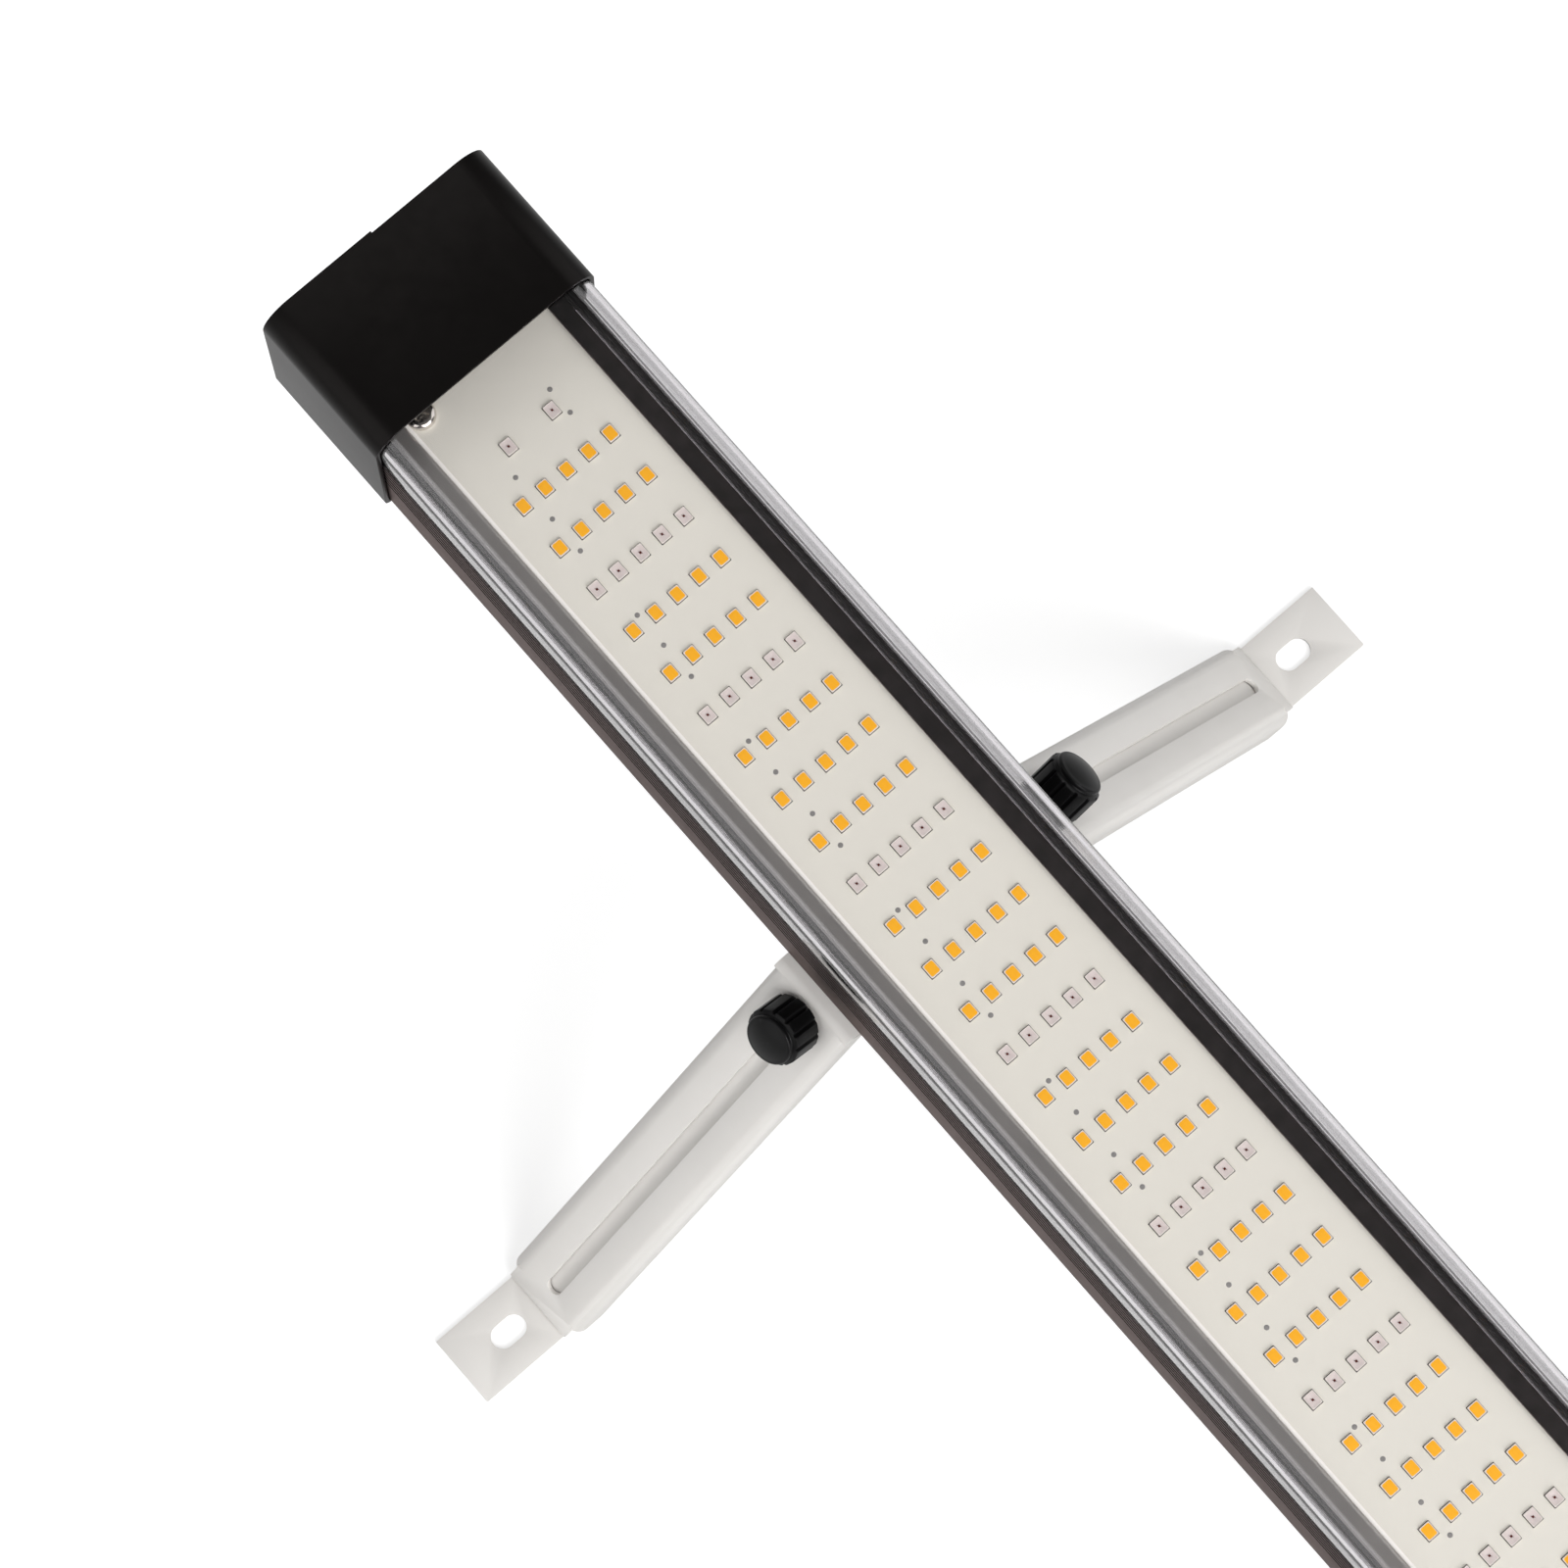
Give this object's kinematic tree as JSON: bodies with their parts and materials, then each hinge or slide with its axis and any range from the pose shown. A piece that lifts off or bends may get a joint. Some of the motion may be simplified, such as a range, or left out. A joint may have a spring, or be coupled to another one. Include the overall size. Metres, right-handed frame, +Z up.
{
  "type": "led grow light",
  "caption": "Linear grow light: clear-lens LED bar with end caps, carried on telescoping sheet-metal brackets with clamp knobs and slotted feet.",
  "frame": {"origin": "under the middle of the bar, on the plane of the feet's undersides", "axes": "+X along the bar towards the end with the power inlet, +Y across it, +Z up, the way the light shines"},
  "size_m": [0.6102, 0.2886, 0.1807],
  "materials": {
    "black_anodised": "satin black anodised",
    "clear_lens": "clear extruded polycarbonate",
    "white_board": "warm white solder mask",
    "bright_steel": "bright plated",
    "led_package": "white moulded",
    "led_phosphor": "amber silicone",
    "red_chip": "clear silicone over a dark red die",
    "cap_plastic": "fine satin black",
    "silicone": "matte",
    "fibreglass": "green solder mask",
    "insulating_film": "matte film",
    "ferrite": "matte",
    "yellow_tape": "tape",
    "capacitor_sleeve": "shrink sleeve",
    "copper_winding": "enamelled copper",
    "bare_aluminium": "bare",
    "lead_insulation": "insulated wire",
    "painted_sheet": "light grey powder coat",
    "knob_plastic": "moulded black"
  },
  "bodies": {
    "bar": {"housing": "black_anodised", "lens_cover": "clear_lens", "led_board": "white_board", "board_screws": "bright_steel", "white_led_bodies": "led_package", "white_led_phosphors": "led_phosphor", "red_led_bodies": "led_package", "red_led_chips": "red_chip", "end_cap_near": "cap_plastic", "end_cap_far": "cap_plastic", "end_gasket_near": "silicone", "end_gasket_far": "silicone", "cap_screws": "bright_steel", "power_inlet": "cap_plastic", "inlet_pins": "bright_steel", "driver_board": "fibreglass", "insulation_tray": "insulating_film", "driver_transformer": "ferrite", "transformer_winding": "yellow_tape", "driver_capacitors": "capacitor_sleeve", "driver_choke": "copper_winding", "driver_heat_sink": "bare_aluminium", "mains_leads": "lead_insulation", "led_leads": "lead_insulation", "bracket_screws": "bright_steel", "slide_nuts": "bright_steel", "bracket_near": "painted_sheet", "bracket_far": "painted_sheet"},
    "leg_near_left": {"leg_near_left": "painted_sheet", "clinch_nut_near_left": "bright_steel"},
    "knob_near_left": {"knob_near_left": "knob_plastic", "stud_near_left": "bright_steel", "washer_near_left": "bright_steel"},
    "leg_near_right": {"leg_near_right": "painted_sheet", "clinch_nut_near_right": "bright_steel"},
    "knob_near_right": {"knob_near_right": "knob_plastic", "stud_near_right": "bright_steel", "washer_near_right": "bright_steel"},
    "leg_far_left": {"leg_far_left": "painted_sheet", "clinch_nut_far_left": "bright_steel"},
    "knob_far_left": {"knob_far_left": "knob_plastic", "stud_far_left": "bright_steel", "washer_far_left": "bright_steel"},
    "leg_far_right": {"leg_far_right": "painted_sheet", "clinch_nut_far_right": "bright_steel"},
    "knob_far_right": {"knob_far_right": "knob_plastic", "stud_far_right": "bright_steel", "washer_far_right": "bright_steel"}
  },
  "joints": [
    {"name": "leg_slide_near_left", "type": "slide", "parent": "bar", "child": "leg_near_left", "axis": [0, -0.5621, -0.8271], "range_m": [0, 0.135]},
    {"name": "knob_turn_near_left", "type": "hinge", "parent": "leg_near_left", "child": "knob_near_left", "pos_m": [-0.1154, -0.03912, 0.1232], "axis": [0, -0.8271, 0.5621], "range_deg": [0, 360]},
    {"name": "leg_slide_near_right", "type": "slide", "parent": "bar", "child": "leg_near_right", "axis": [0, 0.5621, -0.8271], "range_m": [0, 0.135]},
    {"name": "knob_turn_near_right", "type": "hinge", "parent": "leg_near_right", "child": "knob_near_right", "pos_m": [-0.1154, 0.03912, 0.1232], "axis": [0, 0.8271, 0.5621], "range_deg": [0, 360]},
    {"name": "leg_slide_far_left", "type": "slide", "parent": "bar", "child": "leg_far_left", "axis": [0, -0.5621, -0.8271], "range_m": [0, 0.135]},
    {"name": "knob_turn_far_left", "type": "hinge", "parent": "leg_far_left", "child": "knob_far_left", "pos_m": [0.1154, -0.03912, 0.1232], "axis": [0, -0.8271, 0.5621], "range_deg": [0, 360]},
    {"name": "leg_slide_far_right", "type": "slide", "parent": "bar", "child": "leg_far_right", "axis": [0, 0.5621, -0.8271], "range_m": [0, 0.135]},
    {"name": "knob_turn_far_right", "type": "hinge", "parent": "leg_far_right", "child": "knob_far_right", "pos_m": [0.1154, 0.03912, 0.1232], "axis": [0, 0.8271, 0.5621], "range_deg": [0, 360]}
  ]
}
